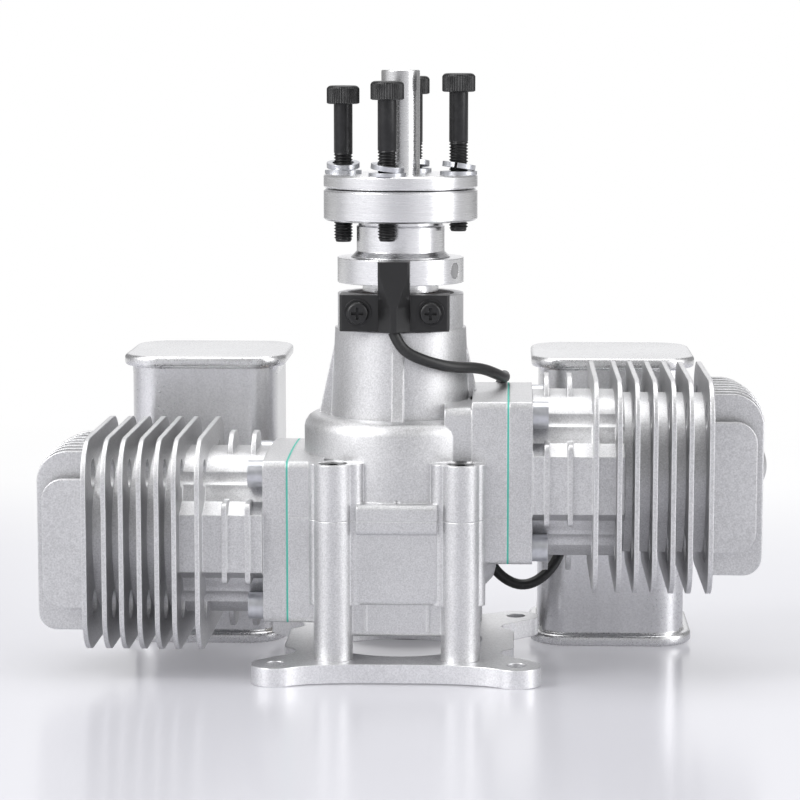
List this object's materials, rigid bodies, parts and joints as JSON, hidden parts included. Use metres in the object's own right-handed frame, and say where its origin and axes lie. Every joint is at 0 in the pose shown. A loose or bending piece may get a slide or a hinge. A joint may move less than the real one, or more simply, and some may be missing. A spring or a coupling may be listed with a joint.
{
  "type": "flat aircraft engine",
  "caption": "Opposed air-cooled two-stroke model-aircraft engine on a square mount plate, with finned cylinders, box mufflers, propeller hub and timing sensor.",
  "frame": {"origin": "on the crank axis, at the underside of the mount plate, in the middle of the four firewall bolts", "axes": "+Z along the crankshaft to the propeller, +X along the upper cylinder, +Y to the mufflers and the carburettor"},
  "size_m": [0.1976, 0.1379, 0.1652],
  "materials": {
    "cast_aluminium": "bead-blasted casting",
    "machined_aluminium": "turned and milled",
    "bright_steel": "ground steel",
    "black_steel": "black oxide",
    "zinc_steel": "zinc plated",
    "muffler_steel": "satin, lightly blasted",
    "gasket": "thin green gasket sheet",
    "black_plastic": "moulded",
    "lead": "soft cable jacket",
    "ceramic": "glazed",
    "phenolic": "phenolic",
    "carb_zinc": "die cast",
    "seal_rubber": "moulded",
    "brass": "turned",
    "magnet": "nickel plated"
  },
  "bodies": {
    "engine": {"mount_plate": "machined_aluminium", "rear_case": "cast_aluminium", "front_case": "cast_aluminium", "case_bolts": "black_steel", "case_dowels": "bright_steel", "shaft_seal": "seal_rubber", "bearing_outer_races": "bright_steel", "left_cylinder": "cast_aluminium", "right_cylinder": "cast_aluminium", "left_muffler": "muffler_steel", "right_muffler": "muffler_steel", "muffler_caps": "muffler_steel", "pistons": "machined_aluminium", "connecting_rods": "bright_steel", "base_gaskets": "gasket", "cylinder_screws": "zinc_steel", "piston_rings": "bright_steel", "wrist_pins": "bright_steel", "wrist_pin_clips": "bright_steel", "plug_shells": "zinc_steel", "plug_insulators": "ceramic", "plug_terminals": "zinc_steel", "exhaust_gaskets": "gasket", "muffler_screws": "black_steel", "sensor_housing": "black_plastic", "sensor_screws": "black_steel", "sensor_washers": "black_steel", "sensor_lead": "lead", "lead_coil": "lead", "lead_plug": "black_plastic", "reed_block": "machined_aluminium", "insulator": "phenolic", "carb_body": "carb_zinc", "carb_covers": "carb_zinc", "carb_cover_screws": "zinc_steel", "carb_screws": "black_steel", "fuel_nipple": "brass"},
    "crank_group": {"crank_front_shaft": "bright_steel", "crank_centre_web": "bright_steel", "crank_rear_web": "bright_steel", "bearing_inner_races": "bright_steel", "big_ends": "bright_steel", "big_end_needles": "bright_steel", "hub_key": "bright_steel", "prop_hub": "machined_aluminium", "timing_collar": "machined_aluminium", "timing_magnet": "magnet", "prop_washer": "machined_aluminium", "prop_bolts": "black_steel", "flat_washers": "zinc_steel", "spring_washers": "zinc_steel"},
    "rear_ball_row": {"rear_bearing_balls": "bright_steel"},
    "front_ball_row": {"front_bearing_balls": "bright_steel"},
    "nose_ball_row": {"nose_bearing_balls": "bright_steel"},
    "throttle_group": {"throttle_valve": "bright_steel", "throttle_arm": "zinc_steel"},
    "choke_group": {"choke_valve": "bright_steel", "choke_lever": "zinc_steel"},
    "high_mixture": {"high_needle": "brass"},
    "low_mixture": {"low_needle": "brass"}
  },
  "joints": [
    {"name": "crank_spin", "type": "hinge", "parent": "engine", "child": "crank_group", "pos_m": [0, 0, 0.05], "axis": [0, 0, 1], "continuous": true},
    {"name": "rear_balls_roll", "type": "hinge", "parent": "engine", "child": "rear_ball_row", "pos_m": [0, 0, 0.0186], "axis": [0, 0, 1], "continuous": true},
    {"name": "front_balls_roll", "type": "hinge", "parent": "engine", "child": "front_ball_row", "pos_m": [0, 0, 0.0659], "axis": [0, 0, 1], "continuous": true},
    {"name": "nose_balls_roll", "type": "hinge", "parent": "engine", "child": "nose_ball_row", "pos_m": [0, 0, 0.0891], "axis": [0, 0, 1], "continuous": true},
    {"name": "throttle_turn", "type": "hinge", "parent": "engine", "child": "throttle_group", "pos_m": [0, 0.0485, 0.0285], "axis": [1, 0, 0], "range_deg": [0, 75], "stiffness_Nm_per_rad": 0.01, "springref_deg": -17.19},
    {"name": "choke_turn", "type": "hinge", "parent": "engine", "child": "choke_group", "pos_m": [0, 0.065, 0.0285], "axis": [1, 0, 0], "range_deg": [0, 75]},
    {"name": "high_needle_turn", "type": "hinge", "parent": "engine", "child": "high_mixture", "pos_m": [-0.018, 0.052, 0.02], "axis": [1, 0, 0], "range_deg": [-540, 720]},
    {"name": "low_needle_turn", "type": "hinge", "parent": "engine", "child": "low_mixture", "pos_m": [-0.018, 0.0575, 0.02], "axis": [1, 0, 0], "range_deg": [-540, 720]}
  ],
  "couplings": [
    {"joint": "rear_balls_roll", "follows": "crank_spin", "ratio": 0.381},
    {"joint": "front_balls_roll", "follows": "crank_spin", "ratio": 0.39872},
    {"joint": "nose_balls_roll", "follows": "crank_spin", "ratio": 0.41861}
  ]
}
